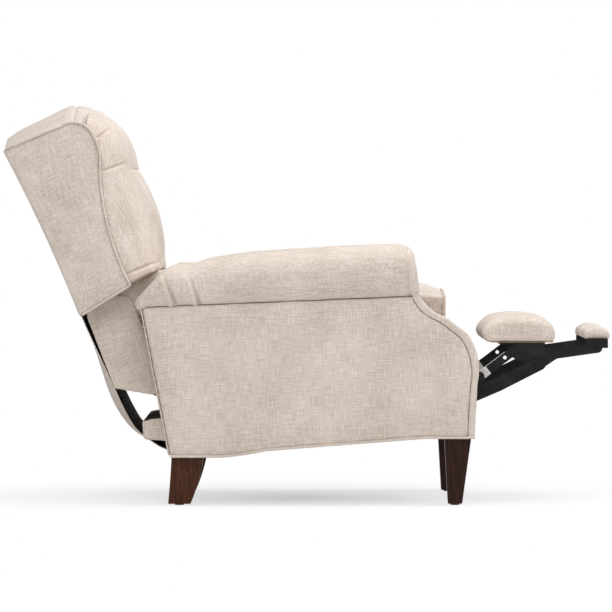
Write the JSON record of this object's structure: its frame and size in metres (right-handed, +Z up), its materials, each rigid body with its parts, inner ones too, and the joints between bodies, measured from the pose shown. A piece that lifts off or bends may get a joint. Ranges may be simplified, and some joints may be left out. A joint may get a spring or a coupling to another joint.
{
  "type": "wing-back recliner",
  "caption": "Wing-back push-back recliner on tapered legs, leaned back, with a folding footrest on a steel linkage and a flip-out end pad.",
  "frame": {"origin": "on the floor under the middle of the reclined chair's length and width", "axes": "+X towards the sitter's front, +Y to the sitter's left, +Z up"},
  "size_m": [1.5071, 0.7882, 0.9882],
  "materials": {
    "oatmeal_linen": "slubbed linen-look weave",
    "walnut": "dark satin stain",
    "frame_wood": "raw sawn",
    "black_steel": "semi-gloss black enamel",
    "zinc_steel": "zinc plated",
    "dark_webbing": "woven elastic and lining cloth",
    "black_nylon": "moulded"
  },
  "bodies": {
    "base": {"left_arm_board": "frame_wood", "right_arm_board": "frame_wood", "left_outside_arm": "oatmeal_linen", "right_outside_arm": "oatmeal_linen", "left_inside_arm": "oatmeal_linen", "right_inside_arm": "oatmeal_linen", "left_arm_roll": "oatmeal_linen", "right_arm_roll": "oatmeal_linen", "left_arm_facing": "oatmeal_linen", "right_arm_facing": "oatmeal_linen", "left_front_leg": "walnut", "right_front_leg": "walnut", "left_rear_leg": "walnut", "right_rear_leg": "walnut", "leg_bolts": "zinc_steel", "leg_glides": "black_nylon", "track_rails": "frame_wood", "mechanism_rails": "frame_wood", "mechanism_plates": "black_steel", "plate_screws": "zinc_steel", "base_pivot_pins": "black_steel", "front_stretcher": "frame_wood", "rear_rail": "oatmeal_linen", "seat_tracks": "zinc_steel", "arm_rear_panels": "oatmeal_linen"},
    "seat": {"seat_side_rails": "frame_wood", "seat_runners": "black_nylon", "seat_rear_rail": "frame_wood", "seat_front_rail": "frame_wood", "seat_webbing": "dark_webbing", "seat_deck": "dark_webbing", "seat_cushion": "oatmeal_linen"},
    "back": {"back_posts": "frame_wood", "back_rails": "frame_wood", "back_lower_rail": "frame_wood", "back_straps": "dark_webbing", "lower_back_sides": "oatmeal_linen", "left_hinge_arm": "black_steel", "right_hinge_arm": "black_steel", "left_wing": "oatmeal_linen", "right_wing": "oatmeal_linen", "outside_back": "oatmeal_linen", "back_top": "oatmeal_linen", "back_pillow": "oatmeal_linen", "lumbar_pad": "oatmeal_linen", "back_flap": "oatmeal_linen"},
    "front_link_pair": {"front_links": "black_steel", "elbow_pins": "zinc_steel"},
    "rear_link_pair": {"rear_links": "black_steel", "torque_tube": "black_steel"},
    "upper_link_pair": {"upper_links": "black_steel"},
    "lower_link_pair": {"lower_links": "black_steel"},
    "footrest": {"left_footrest_bracket": "black_steel", "right_footrest_bracket": "black_steel", "bracket_pins": "black_steel", "footrest_board": "frame_wood", "footrest_pad": "oatmeal_linen"},
    "flipper": {"flipper_arms": "black_steel", "flipper_board": "frame_wood", "flipper_pad": "oatmeal_linen"}
  },
  "joints": [
    {"name": "back_recline", "type": "hinge", "parent": "base", "child": "back", "pos_m": [-0.12, 0, 0.165], "axis": [0, 1, 0], "range_deg": [0, 13], "deforming": ["back_flap"]},
    {"name": "seat_slide", "type": "slide", "parent": "base", "child": "seat", "axis": [1, 0, 0], "range_m": [-0.0205, 0]},
    {"name": "footrest_fold", "type": "hinge", "parent": "base", "child": "front_link_pair", "pos_m": [0.311, 0, 0.2253], "axis": [0, -1, 0], "range_deg": [0, 94.54]},
    {"name": "rear_link_swing", "type": "hinge", "parent": "base", "child": "rear_link_pair", "pos_m": [0.2345, 0, 0.19], "axis": [0, -1, 0], "range_deg": [0, 92.52]},
    {"name": "elbow_turn", "type": "hinge", "parent": "front_link_pair", "child": "upper_link_pair", "pos_m": [0.4198, 0, 0.311], "axis": [0, -1, 0], "range_deg": [-123.56, 0]},
    {"name": "knee_turn", "type": "hinge", "parent": "front_link_pair", "child": "lower_link_pair", "pos_m": [0.4672, 0, 0.2924], "axis": [0, -1, 0], "range_deg": [-180.12, 0]},
    {"name": "footrest_turn", "type": "hinge", "parent": "upper_link_pair", "child": "footrest", "pos_m": [0.5054, 0, 0.3755], "axis": [0, -1, 0], "range_deg": [-61.21, 0]},
    {"name": "flipper_turn", "type": "hinge", "parent": "footrest", "child": "flipper", "pos_m": [0.605, 0, 0.3685], "axis": [0, -1, 0], "range_deg": [-178.12, 0]}
  ],
  "couplings": [
    {"joint": "seat_slide", "follows": "back_recline", "m_per_rad": -0.088147},
    {"joint": "rear_link_swing", "follows": "footrest_fold", "ratio": 0.9774},
    {"joint": "elbow_turn", "follows": "footrest_fold", "ratio": -1.3058},
    {"joint": "knee_turn", "follows": "footrest_fold", "ratio": -1.904},
    {"joint": "footrest_turn", "follows": "footrest_fold", "ratio": -0.6462},
    {"joint": "flipper_turn", "follows": "footrest_fold", "ratio": -1.8829}
  ]
}
